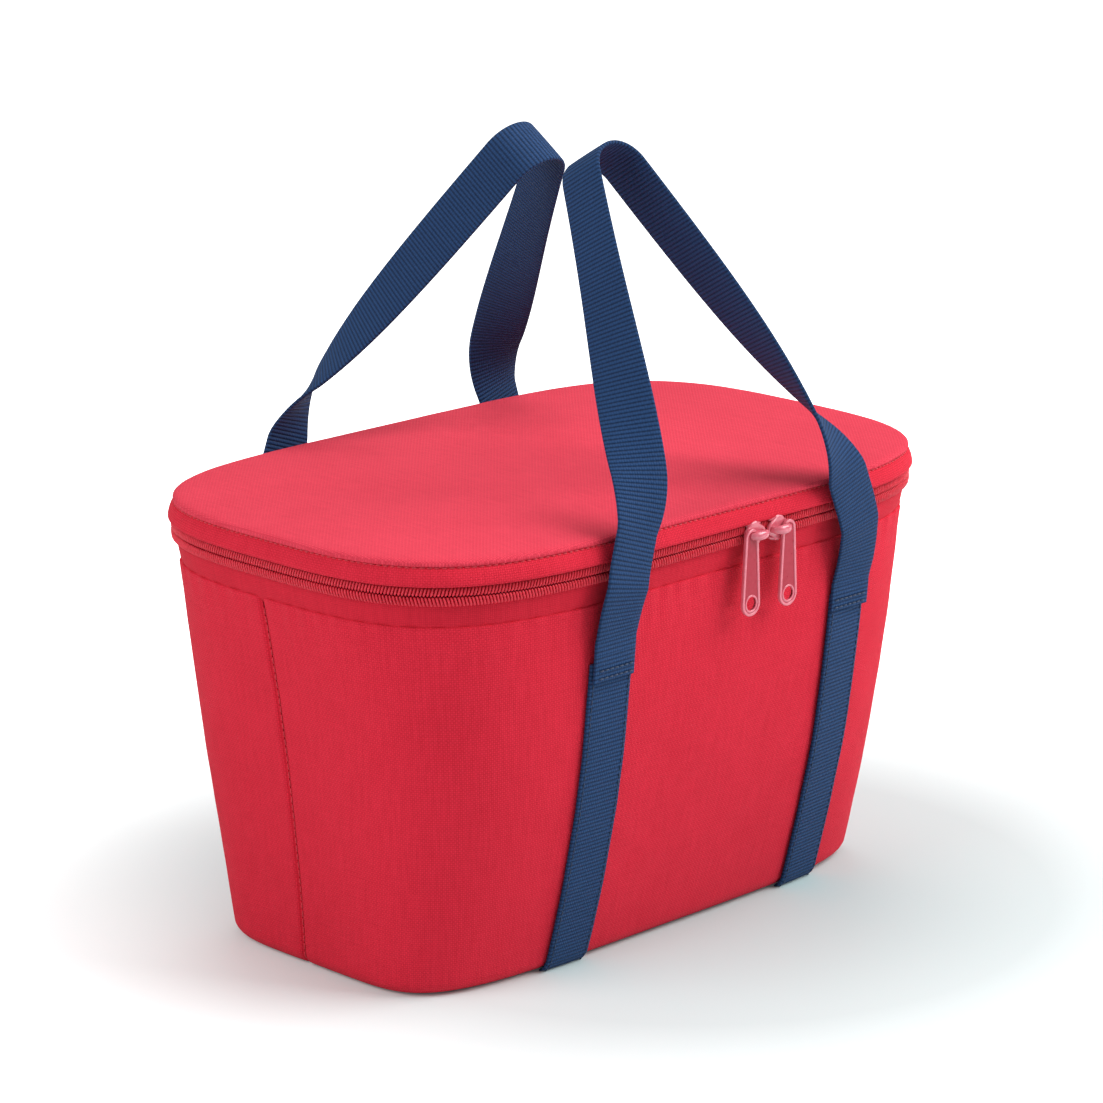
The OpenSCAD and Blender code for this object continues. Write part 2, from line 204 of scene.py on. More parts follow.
front_wall = wall_panel("front_wall_cloth", 0.5 - end_seam + panel_gap, 1 + end_seam - panel_gap)
back_wall = wall_panel("back_wall_cloth", end_seam + panel_gap, 0.5 - end_seam - panel_gap)


class Wire:
    """A value on its way through a shader: sums and products of it add their own Math nodes."""

    def __init__(self, tree, socket=None):
        self.tree, self.socket = tree, socket

    def add(self, kind, settings=None, sockets=None, output=0):
        """A new node of that type: first its settings, then its sockets' values or links."""
        made = self.tree.nodes.new(kind)
        for setting, value in (settings or {}).items():
            setattr(made, setting, value)
        for key, value in (sockets or {}).items():
            if isinstance(value, Wire):
                self.tree.links.new(value.socket, made.inputs[key])
            else:
                made.inputs[key].default_value = value
        return Wire(self.tree, made.outputs[output])

    def maths(self, operation, *others):
        sockets = dict(enumerate((self, *others)))
        return self.add("ShaderNodeMath", {"operation": operation}, sockets)

    def __add__(self, other):
        return self.maths("ADD", other)

    def __sub__(self, other):
        return self.maths("SUBTRACT", other)

    def __rsub__(self, other):
        return self.maths("MULTIPLY_ADD", -1.0, other)

    def __mul__(self, other):
        return self.maths("MULTIPLY", other)

    def __gt__(self, other):
        return self.maths("GREATER_THAN", other)

    __radd__, __rmul__ = __add__, __mul__

    def tint(self, low, high):
        """Colour that goes from low to high as this value goes from 0 to 1."""
        return self.add("ShaderNodeMix", {"data_type": "RGBA", "clamp_factor": True},
                        {0: self, 6: (*low, 1), 7: (*high, 1)}, 2)

    def noise(self, place, scale, detail=2.0):
        """Cloudy noise from 0 to 1 at a place, a vector."""
        return self.add("ShaderNodeTexNoise", None,
                        {"Vector": place, "Scale": scale, "Detail": detail})

    def stretched(self, x, y):
        """This vector with its first two parts made longer or shorter."""
        return self.add("ShaderNodeVectorMath", {"operation": "MULTIPLY"}, {0: self, 1: (x, y, 1)})

    def bump(self, depth, strength=1.0):
        """The surface's slope where this value times depth is its height."""
        return self.add("ShaderNodeBump", None,
                        {"Strength": strength, "Distance": depth, "Height": self})

    def place(self):
        """The point's place in the bag at rest, a vector in metres."""
        return self.add("ShaderNodeTexCoord", output=3)

    def threads(self):
        """The point's place on the flat cloth, as a vector and as its parts along and across."""
        place = self.add("ShaderNodeAttribute", {"attribute_name": "threads"}, output=1)
        return place, *(self.add("ShaderNodeSeparateXYZ", None, {0: place}, k) for k in (0, 1))


def finish(name, roughness, sheen=0.0, **fixed):
    """A material with its Principled shader: returns a start for its wires, and a function that
    ends them in the shader's sockets and returns the material."""
    material = bpy.data.materials.new(name)
    material.use_nodes = True
    tree = material.node_tree
    tree.nodes.clear()
    shader = tree.nodes.new("ShaderNodeBsdfPrincipled")
    shader.inputs["Roughness"].default_value = roughness
    shader.inputs["Sheen Weight"].default_value = sheen
    for socket, value in fixed.items():
        shader.inputs[socket.replace("_", " ")].default_value = value
    output = tree.nodes.new("ShaderNodeOutputMaterial")
    tree.links.new(shader.outputs[0], output.inputs[0])

    def end(**wires):
        for socket, wire in wires.items():
            tree.links.new(wire.socket, shader.inputs[socket.replace("_", " ")])
        return material
    return Wire(tree), end


def woven(name, dark, light, pitch, relief, rib=0.25, blotch=0.16):
    """Plain-woven cloth whose threads follow the piece: each thread passes over the next ones in
    turn, and uneven threads show as faint ribs up the piece.
    Its colour is painted lighter on raised thread tops and on the threads that pass over, as
    painted shade in the weave's hollows."""
    wire, end = finish(name, 0.85, 0.02, Sheen_Roughness=0.5, Specular_IOR_Level=0.2)
    place, along, up = wire.threads()
    warp, weft = ((part * (math.pi / pitch)).maths("SINE") for part in (along, up))
    over = (warp * weft) > 0
    warp_top, weft_top = (a * a * (0.5 + 0.5 * (b * b)) for a, b in ((warp, weft), (weft, warp)))
    height = over * warp_top + (1 - over) * weft_top
    uneven = wire.noise(wire.place(), 38.0, 3.0)
    slub = wire.noise(place.stretched(0.7 / pitch, 0.06 / pitch), 1.0)
    slub_across = wire.noise(place.stretched(0.07 / pitch, 0.8 / pitch), 1.0)
    # Colour: thread height and the over-passing threads lighten it, as painted shade in the weave's
    # hollows; slubs and blotches are the cloth's own tone.
    tone_and_painted_shade = height * 0.38 + over * (rib / 2) + slub * 0.3 + slub_across * 0.15 + uneven * blotch
    raised = height + slub * (2 * rib) + slub_across * rib
    return end(Base_Color=tone_and_painted_shade.tint(dark, light), Normal=raised.bump(relief))


red_cloth = woven("red_polyester", (0.50, 0.002, 0.014), (1.0, 0.036, 0.080),
                  0.8 * MM, 0.16 * MM)


def dress(piece, material, body, slot, *nodes):
    """Gives a piece its material and its body, and hides the nodes that it stands for. Its slot is
    not used.
    """
    piece.data.materials.append(material)
    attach(piece, body)
    if nodes:
        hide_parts(*nodes)


dress(front_wall, red_cloth, "bag", "red_cloth", "outer_front_panel", "front_foam")
dress(back_wall, red_cloth, "bag", "red_cloth", "outer_back_panel", "back_foam")

# ---- base ----
# The underside is a flat panel of the same cloth, stretched over the foam and a stiff board,
# with its edge turned up into the seam that runs round the bottom of the walls.


def closed(rows):
    """Points and faces of a surface through closed rings, the last of which closes to a point."""
    columns = rows.shape[1]
    first = np.arange(len(rows) - 1) * columns
    here = np.add.outer(first, np.arange(columns))
    after = np.add.outer(first, (np.arange(columns) + 1) % columns)
    faces = np.stack([here, after, after + columns, here + columns], -1).reshape(-1, 4).tolist()
    last = (len(rows) - 1) * columns
    faces += [[last + j, last + (j + 1) % columns, last + columns] for j in range(columns)]
    return np.concatenate([rows.reshape(-1, 3), rows[-1].mean(0)[None]]), faces


def filled(ring, height, share_heights):
    """Points and faces that close a ring, in rings drawn in to a share of its size. Each ring
    lies that many millimetres above height."""
    middle = ring[:, :2].mean(0)
    return closed(np.array([
        np.c_[middle + (ring[:, :2] - middle) * share, np.full(len(ring), height + up * MM)]
        for share, up in share_heights]))


ring_places = np.arange(400) / 400
places, faces = filled(outline(0.3 * MM, ring_places, -0.2 * MM), 0, [
    (1, 0.9), (0.998, 0.5), (0.99, 0.2), (0.975, 0.05), (0.9, 0), (0.7, 0), (0.4, 0), (0.1, 0)])
base_cloth = cloth_object("base_cloth", places, [f[::-1] for f in faces], places[:, :2])
dress(base_cloth, red_cloth, "bag", "red_cloth", "outer_base_panel")

wire, end = finish("base_board_fibre", 0.8)
fleck = wire.noise(wire.place(), 220.0, 4.0)
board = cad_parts["base_board"]
board.data.materials.clear()
board.data.materials.append(end(Base_Color=fleck.tint((0.03, 0.03, 0.03), (0.09, 0.09, 0.09)),
                                Roughness=fleck * 0.3 + 0.6))

# ---- zip tapes and chain ----
# A nylon coil zip runs round the front and both ends. Each woven tape is sewn behind the folded
# edge of its cloth, and carries one row of coil, whose loops show as short slanted strokes.

hinge_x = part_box("hinge_strip_upper")[1].x
tab_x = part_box("zip_end_tabs")[1].x


def back_place(x):
    """Share of the girth of the point at x on the back."""
    shares = np.linspace(0, 0.25, 1001)
    return float(np.interp(-x, -outline(zip_z, shares)[:, 0], shares))


def band(name, profile, start, stop, thickness, step=2.2 * MM):
    """A strip that runs round the outline from one share of the girth to another. profile lists
    the heights of its rows, in millimetres from the zip, and how far out each lies."""
    whole = stop - start >= 1
    count = int((stop - start) * girth / step)
    places = np.linspace(start, stop, count, endpoint=not whole)
    rows = np.array([outline(zip_z + up * MM, places, out * MM) for up, out in profile])
    up = np.r_[0, np.cumsum(np.hypot(*np.diff(np.array(profile), axis=0).T))] * MM
    threads = np.stack(np.broadcast_arrays(places * girth, up[:, None]), -1)
    return skin(name, rows, threads, thickness, close=whole)


chain_start, chain_stop = 0.5 - back_place(hinge_x), 1 + back_place(hinge_x)
tape_t = 0.5 * MM
tape_cloth = woven("zip_tape_weave", (0.45, 0.003, 0.016), (0.92, 0.030, 0.066),
                   0.7 * MM, 0.08 * MM, 0.1, 0.1)
lower_tape = band("zip_tape_lower_cloth", [
    (-13.5, -1.4), (-11.6, -0.7), (-10, -0.35), (-7, -0.2), (-3, -0.15), (-0.4, -0.1)],
    chain_start, chain_stop, tape_t)
upper_tape = band("zip_tape_upper_cloth", [(0.4, -0.1), (3, -0.15), (6, -0.2), (9.8, -0.3)],
                  chain_start, chain_stop, tape_t)
dress(lower_tape, tape_cloth, "bag", "zip_tape", "zip_tape_lower")
dress(upper_tape, tape_cloth, "lid", "zip_tape", "zip_tape_upper")


def run_along(points):
    """The distance along a line of points at each of them."""
    return np.r_[0, np.cumsum(np.linalg.norm(np.diff(points, axis=0), axis=-1))]


def tubes(name, paths, radii, sides=6):
    """One mesh of many short round pieces. paths holds the points of each one's middle line."""
    paths, radii = np.asarray(paths), np.asarray(radii)
    many, length = paths.shape[:2]
    along = np.gradient(paths, axis=1)
    along /= np.linalg.norm(along, axis=-1, keepdims=True)
    chord = paths[:, -1] - paths[:, 0]
    least = np.eye(3)[np.abs(chord).argmin(-1)][:, None]
    first = np.cross(along, least)
    first /= np.linalg.norm(first, axis=-1, keepdims=True)
    second = np.cross(along, first)
    turn = np.arange(sides) * 2 * np.pi / sides
    rings = paths[:, :, None] + radii[None, :, None, None] * (
        np.cos(turn)[:, None] * first[:, :, None] + np.sin(turn)[:, None] * second[:, :, None])
    k = np.add.outer(np.arange(many) * length * sides, np.arange(length - 1) * sides)[..., None]
    j, after = np.arange(sides), (np.arange(sides) + 1) % sides
    faces = np.stack([k + j, k + after, k + after + sides, k + j + sides], -1).reshape(-1, 4)
    start = (np.arange(many) * length * sides)[:, None]
    caps = [list(c) for c in np.concatenate([start + j[::-1], start + (length - 1) * sides + j])]
    places = rings.reshape(-1, 3)
    run = np.broadcast_to(run_along(paths[0])[None, :, None], (many, length, sides))
    return cloth_object(name, places, faces.tolist() + caps, np.c_[places[:, 0], run.ravel()])


def local_frame(z, places):
    """Middle, along, out and up directions at places on the outline at height z."""
    here = outline(z, places)
    out = (outline(z, places, MM) - here) / MM
    up = np.broadcast_to([0.0, 0.0, 1.0], out.shape)
    return here, np.cross(up, out), out, up


coil_pitch = 1.2 * MM
tooth_count = int((chain_stop - chain_start) * girth / coil_pitch)
tooth_places = np.linspace(chain_start, chain_stop, tooth_count)
# Points of one loop: along the chain, away from its middle, and out, in millimetres.
tooth_path = [(-0.42, 0.45, 0.2), (-0.40, 0.42, 0.62), (-0.22, 0.8, 0.86), (0.06, 1.8, 0.85),
              (0.3, 2.7, 0.72), (0.36, 3.1, 0.4), (0.36, 3.1, -0.1)]
tooth_radii = np.array([0.34, 0.42, 0.42, 0.4, 0.4, 0.38, 0.3]) * MM
wire, end = finish("nylon_coil", 0.42, Specular_IOR_Level=0.4)
gloss = wire.noise(wire.place(), 900.0)
nylon = end(Base_Color=gloss.tint((0.60, 0.008, 0.025), (0.95, 0.055, 0.095)),
            Roughness=gloss * 0.2 + 0.35)
for row, way, body in (("lower", -1, "bag"), ("upper", 1, "lid")):
    stagger = (0.5 - way / 2) * coil_pitch / girth / 2
    here, along, out, up = local_frame(zip_z, tooth_places + stagger)
    teeth = np.stack([here + MM * (a * along + way * u * up + o * out)
                      for a, u, o in tooth_path], 1)
    coil = tubes(f"zip_coil_{row}_loops", teeth, tooth_radii)
    dress(coil, nylon, body, "zip_coil", f"zip_coil_{row}")

# ---- lid band ----
# Above the chain a folded strip of the red cloth, 7 mm high, is sewn to the tape, and its top edge
# goes into the lid's seam. Its folded lower edge stands a little proud and shades the chain.

lid_band = band("lid_band_cloth", [
    (3.9, 1.2), (3.55, 1.6), (3.6, 2.0), (4.1, 2.3), (5.0, 2.25), (6.5, 1.9), (8.0, 1.35),
    (9.2, 0.7), (9.9, 0.0), (10.1, -0.7)], chain_start, chain_stop, 0.3 * MM)
dress(lid_band, red_cloth, "lid", "red_cloth")

# ---- cloth hinge and end tabs ----
# Behind the zip's ends one strip of the red cloth joins wall and lid where the lid turns.
# A folded tab of the same cloth covers each end of the chain.

hinge_profile = [(up, 0.2 * math.sin(1.1 * up) - 0.1) for up in np.arange(-13, 10.1, 0.75)]
hinge_cloth = band("hinge_cloth", hinge_profile, chain_stop - 1, chain_start, 0.6 * MM)
hinge_cloth.data.materials.append(red_cloth)
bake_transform(hinge_cloth)
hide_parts("hinge_strip_lower", "hinge_strip_upper")

tab_low, tab_high = (corner.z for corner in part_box("zip_end_tabs"))
tab_middle = (tab_low + tab_high) / 2
tab_profile = [((z - zip_z) / MM, out) for z, out in (
    (tab_low, -0.2), (tab_low + 0.1 * MM, 0.7), (tab_low + 0.8 * MM, 1.15), (tab_middle, 1.3),
    (tab_high - 0.8 * MM, 1.2), (tab_high - 0.1 * MM, 0.8), (tab_high, -0.1))]
for side, start, stop in (("right", back_place(tab_x), back_place(hinge_x)),
                          ("left", 0.5 - back_place(hinge_x), 0.5 - back_place(tab_x))):
    tab = band(f"zip_end_tab_{side}", tab_profile, start, stop, 0.5 * MM, 0.6 * MM)
    dress(tab, red_cloth, "bag", "red_cloth", "zip_end_tabs")

# ---- lid top ----
# The lid is one panel of the red cloth over 5 mm of foam: almost flat, a little domed, with a soft
# rounded edge that swells over the seam and puckers slightly at the stitches.

lid_seam_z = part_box("zip_tape_upper")[1].z
dome_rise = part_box("lid_top_panel")[1].z - lid_seam_z - cloth_t - 2 * MM
pucker_pitch, edge_lump_w = 3.1 * MM, 14 * MM
dome_wave_w, dome_wave_h = 60 * MM, 0.55 * MM
# The edge's section: out and up from the seam, in millimetres.
edge_path = [(-1.2, -0.2), (-0.2, -0.1), (0.4, 0.25), (0.6, 0.8), (0.5, 1.35), (0.0, 1.85),
             (-0.8, 2.25), (-2.0, 2.5), (-4, 2.75), (-6.6, 3.0)]
edge_places = np.arange(600) / 600
edge_out = outline(lid_seam_z, edge_places, MM) - outline(lid_seam_z, edge_places)
at_stitches = np.sin(2 * np.pi * edge_places * girth / pucker_pitch)
lid_rows = []
for out, up in edge_path:
    row = outline(lid_seam_z, edge_places, out * MM)
    row[:, 2] = lid_seam_z + up * MM
    pull = np.exp(-abs(up + 0.2) / 1.2) * 0.12 * at_stitches
    lumps = ripple(row[:, 0], row[:, 1], 0, edge_lump_w, 4.4)
    pull = pull + np.exp(-abs(up) / 2.5) * 0.3 * lumps
    lid_rows.append(row + pull[:, None] * edge_out)
inner = lid_rows[-1]
for share in (0.975, 0.95, 0.91, 0.86, 0.8, 0.73, 0.65, 0.56, 0.47, 0.38, 0.29, 0.2, 0.11):
    row = inner * share
    uneven = dome_wave_h * ripple(row[:, 0], row[:, 1], 0, dome_wave_w, 11.0)
    row[:, 2] = inner[0, 2] + dome_rise * (1 - share ** 2.5) + uneven * (1 - share) ** 0.5
    lid_rows.append(row)
places, faces = closed(np.array(lid_rows))
lid_cloth = cloth_object("lid_cloth", places, faces, places[:, :2])
# The lid's copy of the red cloth is lighter and pinker than the walls': painted light and sheen on
# the top face, which faces the lamps.
lid_weave_painted_sheen = woven("lid_polyester_painted_sheen", (0.55, 0.012, 0.034), (1.0, 0.080, 0.135),
                  0.8 * MM, 0.16 * MM, 0.3)
dress(lid_cloth, lid_weave_painted_sheen, "lid", "red_cloth", "lid_top_panel", "lid_foam")

# ---- lining and bindings ----
# The inside is lined with foil-faced cloth, creased where it is tucked round the foam. A folded
# tape binds the raw top edge of the walls and the edge of the lid's underside.

wire, end = finish("foil_faced_cloth", 0.38, Metallic=0.55)
place = wire.place()
crease = wire.add("ShaderNodeTexVoronoi", {"feature": "DISTANCE_TO_EDGE"},
                  {"Vector": place, "Scale": 55.0})
soft = wire.noise(place, 30.0, 4.0)
foil = end(Base_Color=soft.tint((0.55, 0.57, 0.60), (0.80, 0.82, 0.84)),
           Roughness=soft * 0.3 + 0.25, Normal=(crease + soft).bump(0.8 * MM, 0.5))
lining_t = 0.4 * MM
crease_w, crease_h = 26 * MM, 0.7 * MM
under_wave_w, under_wave_h = 22 * MM, 0.5 * MM
lining_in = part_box("outer_front_panel")[0].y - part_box("front_lining")[0].y - 0.05 * MM
floor_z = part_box("base_lining")[1].z
lining_heights = np.concatenate([
    [floor_z + 0.05 * MM], np.linspace(floor_z + 4 * MM, seam_z - 0.3 * MM, 46)])
lining_places = np.arange(320) / 320
lining_rows = np.array([outline(z, lining_places, lining_in) for z in lining_heights])
inward = lining_rows - np.array([outline(z, lining_places, lining_in + MM) for z in lining_heights])
creases = crease_h * (ripple(*np.moveaxis(lining_rows, -1, 0), crease_w, 9.0) - 0.3)
lining_rows = lining_rows + inward / MM * np.minimum(creases, 0)[..., None]
lining_threads = np.stack(np.broadcast_arrays(lining_places * girth, lining_heights[:, None]), -1)
wall_lining = skin("wall_lining_cloth", lining_rows, lining_threads, lining_t, close=True)
dress(wall_lining, foil, "bag", "foil_lining", "front_lining", "back_lining")

places, faces = filled(outline(floor_z, ring_places, lining_in - 0.6 * MM), floor_z, [
    (1, 0.5), (0.985, 0.15), (0.96, 0), (0.8, 0.05), (0.5, 0.1), (0.2, 0.1)])
base_lining = cloth_object("base_lining_cloth", places, faces, places[:, :2])
dress(base_lining, foil, "bag", "foil_lining", "base_lining", "base_foam")

lid_under_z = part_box("lid_lining")[0].z
places, faces = filled(outline(lid_seam_z, ring_places, -0.9 * MM), lid_under_z, [
    (1, 0.6), (0.99, 0.2), (0.975, 0.05), (0.93, 0.6), (0.85, 1.6), (0.65, 3.2), (0.4, 4.4),
    (0.15, 4.9)])
uneven = under_wave_h * ripple(places[:, 0], places[:, 1], 0, under_wave_w, 13.0)
places[:, 2] += uneven * (places[:, 2] > lid_under_z + MM)
lid_lining = cloth_object("lid_lining_cloth", places, [f[::-1] for f in faces], places[:, :2])
dress(lid_lining, foil, "lid", "foil_lining", "lid_lining")

binding_t = 0.35 * MM
bound_tape = woven("binding_tape", (0.26, 0.002, 0.010), (0.60, 0.015, 0.035),
                   0.6 * MM, 0.08 * MM, 0.15)
body_binding = band("body_binding_tape", [
    (-11.9, -0.95), (-10.4, -0.95), (-9.8, -1.3), (-9.6, -2.2), (-9.6, -5.4), (-9.8, -6.6),
    (-10.4, -7.3), (-13.4, -7.4)], 0, 1, binding_t)
dress(body_binding, bound_tape, "bag", "binding", "body_binding")
lid_binding = band("lid_binding_tape", [
    (4.5, -6.6), (3.5, -6.5), (3.1, -5.8), (3.0, -4), (3.0, -2.4), (3.2, -1.5), (4.2, -0.95)],
    0, 1, binding_t)
dress(lid_binding, bound_tape, "lid", "binding", "lid_binding")

# ---- straps and handles ----
# Navy webbing, 20 mm wide with fine ribs across it. Each strap is sewn to the wall from the base
# up to a stitched tack, where the handle's own webbing overlaps it and rises free. The handle's
# legs lean in over the lid, and twist until they meet edge-on at the handle's top.

strap_w = 20 * MM
strap_t = 1.4 * MM
strap_middle = (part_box("strap_front_left")[0].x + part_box("strap_front_right")[1].x) / 2
half_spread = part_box("strap_front_right")[1].x - strap_w / 2 - strap_middle
tack_z = 118 * MM
free_y = -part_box("front_handle")[0].y - strap_t / 2
lean_z = lid_seam_z + 4 * MM
lean_r = 40 * MM
leans = {"front": math.radians(31), "back": math.radians(35)}
sways = {"front": -14 * MM, "back": 6 * MM}
leg_slope = math.radians(19)
bend_above, bend_r, apex_r = 10 * MM, 80 * MM, 12 * MM
twists = {"quick": 3.2, "slow": 2.2}
upright = lean_z - tack_z
coil_low_z = zip_z - 6 * MM
foot_y = 82.96 * MM  # the handles' fold lines, from the bag's middle plane
wall_clear = 2.5 * MM
overlap = 7 * MM
strap_lift = 0.35 * MM
floor_clear = 0.05 * MM
sides = {"front": -1, "back": 1}
ways = {"left": -1, "right": 1}


def wall_depth(x, z):
    """How far the wall stands from the bag's middle plane at x and height z."""
    wide, deep = half_sizes(z)
    square_x, square_y = (b + (t - b) * rise(z) for b, t in zip(base_square, top_square))
    return deep * (1 - (np.abs(x) / wide) ** square_x) ** (1 / square_y)


def webbing(name, middles, across, facing):
    """A length of webbing along middles: across points along its width, facing out of its face."""
    half, edge, crown = strap_w / 2 - strap_t / 2, strap_t / 2, 0.12
    round_edge = [(edge * math.cos(math.radians(a)), edge * math.sin(math.radians(a)))
                  for a in np.linspace(-90, 90, 6)]
    ring = [(half + x, y) for x, y in round_edge]
    ring += [(half * k, edge * (1 + crown * (1 - k * k))) for k in (0.6, 0.2, -0.2, -0.6)]
    ring += [(-half - x, y) for x, y in round_edge[::-1]]
    ring += [(half * k, -edge * (1 + crown * (1 - k * k))) for k in (-0.6, -0.2, 0.2, 0.6)]
    way = np.gradient(middles, axis=0)
    if (np.cross(across, facing) * way).sum() < 0:
        ring = ring[::-1]
    ring = np.array(ring)
    count = len(ring)
    places = (middles[:, None] + ring[:, 0, None] * across[:, None]
              + ring[:, 1, None] * facing[:, None])
    places[..., 2] = np.maximum(places[..., 2], floor_clear)
    run = run_along(middles)
    cloth = np.stack(np.broadcast_arrays(ring[:, 0], run[:, None]), -1).reshape(-1, 2)
    k = (np.arange(len(middles) - 1) * count)[:, None]
    j, after = np.arange(count), (np.arange(count) + 1) % count
    faces = np.stack([k + j, k + after, k + after + count, k + j + count], -1)
    faces = faces.reshape(-1, 4).tolist()
    faces += [list(j[::-1]), list(j + (len(middles) - 1) * count)]
    made = cloth_object(name, places.reshape(-1, 3), faces, cloth)
    made.data.set_sharp_from_angle(angle=math.radians(60))
    return made


def unit(vectors):
    """The same directions with length 1."""
    return vectors / np.linalg.norm(vectors, axis=-1, keepdims=True)


def sewn_line(x0, side):
    """Middles, across and facing directions of a strap sewn flat on the front wall, side -1, or
    on the back wall, side 1."""
    z = np.linspace(0.9 * MM, tack_z - 0.5 * MM, 110)
    points = np.stack([np.full(len(z), x0), wall_depth(x0, z), z], -1)
    off = slack(points * (1, side, 1)) + (strap_lift + strap_t / 2)
    up = unit(np.gradient(points, axis=0))
    out = np.cross(up, [1.0, 0, 0])
    spread = wall_depth(x0 + strap_w / 2, z) - wall_depth(x0 - strap_w / 2, z)
    across = unit(np.stack([np.full(len(z), strap_w), spread, 0 * z], -1))
    facing = -unit(np.cross(up, across))
    flip = (1, side, 1)
    return (points + out * off[:, None]) * flip, across * flip, facing * flip


def leg_line(first):
    """A leg laid flat, from that height over the tack: distance from the middle, length up and
    turn, row by row."""
    straight = [(half_spread, s, 0) for s in np.linspace(first, bend_above, 12, endpoint=False)]
    bend = [(half_spread - bend_r * (1 - math.cos(a)), bend_above + bend_r * math.sin(a), a)
            for a in np.linspace(0, leg_slope, 14)]
    x0, s0, _ = bend[-1]
    x1 = apex_r * math.cos(leg_slope)
    s1 = s0 + (x0 - x1) / math.tan(leg_slope)
    slope = [(x0 + (x1 - x0) * k, s0 + (s1 - s0) * k, leg_slope) for k in np.linspace(0, 1, 60)[1:]]
    apex_s = s1 - apex_r * math.sin(leg_slope)
    top = [(apex_r * math.cos(a), apex_s + apex_r * math.sin(a), a)
           for a in np.linspace(leg_slope, math.pi / 2, 14)[1:]]
    return np.array(straight + bend + slope + top)


def leg_sections(first, way, side, twist):
    """Middles, across and facing directions up a handle's left leg, way -1, or right leg."""
    x, s, turn = leg_line(first).T
    wall_side = "front" if side < 0 else "back"
    lean, handle_s = leans[wall_side], s.max()
    aside = sways[wall_side] * np.maximum(s - bend_above, 0) / (handle_s - bend_above)
    tilt = np.clip((s - upright) / lean_r, 0, lean)
    rest = np.maximum(s - upright - lean * lean_r, 0)
    out_y = foot_y + (free_y - foot_y) * np.clip(s / (coil_low_z - tack_z), 0, 1)
    z = tack_z + np.minimum(s, upright) + lean_r * np.sin(tilt) + rest * np.cos(lean)
    on_wall = wall_depth(strap_middle + way * x, np.minimum(z, seam_z)) + wall_clear
    out_y = np.where(z < seam_z, np.maximum(out_y, on_wall), np.maximum(out_y, 0))
    out_y = out_y - lean_r * (1 - np.cos(tilt)) - rest * np.sin(lean)
    up = np.stack([0 * s, np.sin(tilt), np.cos(tilt)], -1)
    out = np.stack([0 * s, -np.cos(tilt), np.sin(tilt)], -1)
    turn = turn if way > 0 else np.pi - turn
    flat = np.stack([np.cos(turn), 0 * s, 0 * s], -1) + np.sin(turn)[:, None] * up
    above = np.clip((s - upright) / (handle_s - upright), 0, 1)
    t = np.where(s < upright, 0, np.pi / 2 * (1 - (1 - above) ** twist))
    wide = np.cos(t)[:, None] * flat - np.sin(t)[:, None] * out
    thick = np.sin(t)[:, None] * flat + np.cos(t)[:, None] * out
    middle = np.stack([strap_middle + aside + way * x, -out_y, z], -1)
    flip = np.array([1, -side, 1])
    return middle * flip, wide * flip, thick * flip


wire, end = finish("navy_webbing", 0.7, 0.02, Sheen_Roughness=0.4, Specular_IOR_Level=0.2)
place, side_way, run = wire.threads()
rib_pitch, knit_pitch = 1.5 * MM, 0.9 * MM
rib_turn, knit_turn = run * (math.pi / rib_pitch), side_way * (math.pi / knit_pitch)
rib = rib_turn.maths("SINE").maths("ABSOLUTE")
knit = knit_turn.maths("SINE").maths("ABSOLUTE")
stagger = (knit_turn.maths("SINE") * rib_turn.maths("COSINE")) > 0
fuzz = wire.noise(place.stretched(1400, 500), 1.0)
cloudy = wire.noise(wire.place(), 40.0, 3.0)
# The colour is lighter on the ribs' crests and darker in their hollows, as painted shade; the fuzz
# and the cloudy noise are the webbing's own tone.
height = rib * (0.7 + 0.3 * knit) + stagger * 0.1
tone_and_painted_shade = height * 0.75 + fuzz * 0.25 + cloudy * 0.15
navy = end(Base_Color=tone_and_painted_shade.tint((0.001, 0.006, 0.022), (0.021, 0.072, 0.205)),
           Normal=(height + fuzz * 0.3).bump(0.35 * MM))

for wall_side, side in sides.items():
    for name, way in ways.items():
        strap = webbing(f"strap_{wall_side}_{name}_webbing",
                        *sewn_line(strap_middle + way * half_spread, side))
        dress(strap, navy, "bag", "webbing", f"strap_{wall_side}_{name}")

foot_top = 4 * MM
for wall_side, side in sides.items():
    legs = {}
    for name, way in ways.items():
        twist = twists["slow" if way == side else "quick"]
        middle, wide, thick = leg_sections(-overlap, way, side, twist)
        low = middle[:, 2] <= tack_z + foot_top + 1e-6
        last = int(low.sum())
        foot = webbing(f"{wall_side}_foot_{name}_webbing", middle[:last], wide[:last], thick[:last])
        foot.data.materials.append(navy)
        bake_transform(foot)
        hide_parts(f"{wall_side}_handle_feet")
        legs[way] = [part[last - 1:] for part in (middle, wide, thick)]
    loop = webbing(f"{wall_side}_handle_webbing", *(
        np.concatenate([right, left[-2::-1]]) for right, left in zip(legs[1], legs[-1])))
    loop.data.materials.append(navy)
    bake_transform(loop)
    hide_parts(f"{wall_side}_handle")

# ---- sliders and pulls ----
# Two painted metal sliders meet on the chain right of the middle. Each has a rounded body with
# turned edges and an arched bridge, and a tapered pull with a raised rim and a hole low down.

# The body, bridge, rails and rim take a lighter copy of the pinkish-red paint, as painted
# highlight.
wire, end = finish("glossy_slider_paint_painted_highlight", 0.24, Coat_Weight=0.7, Coat_Roughness=0.08,
                   Specular_IOR_Level=0.6)
place = wire.place()
worn = wire.noise(place, 700.0, 3.0)
paint = end(Base_Color=worn.tint((0.72, 0.12, 0.175), (0.84, 0.21, 0.28)),
            Roughness=worn * 0.12 + 0.18, Normal=wire.noise(place, 320.0).bump(0.15 * MM, 0.25))
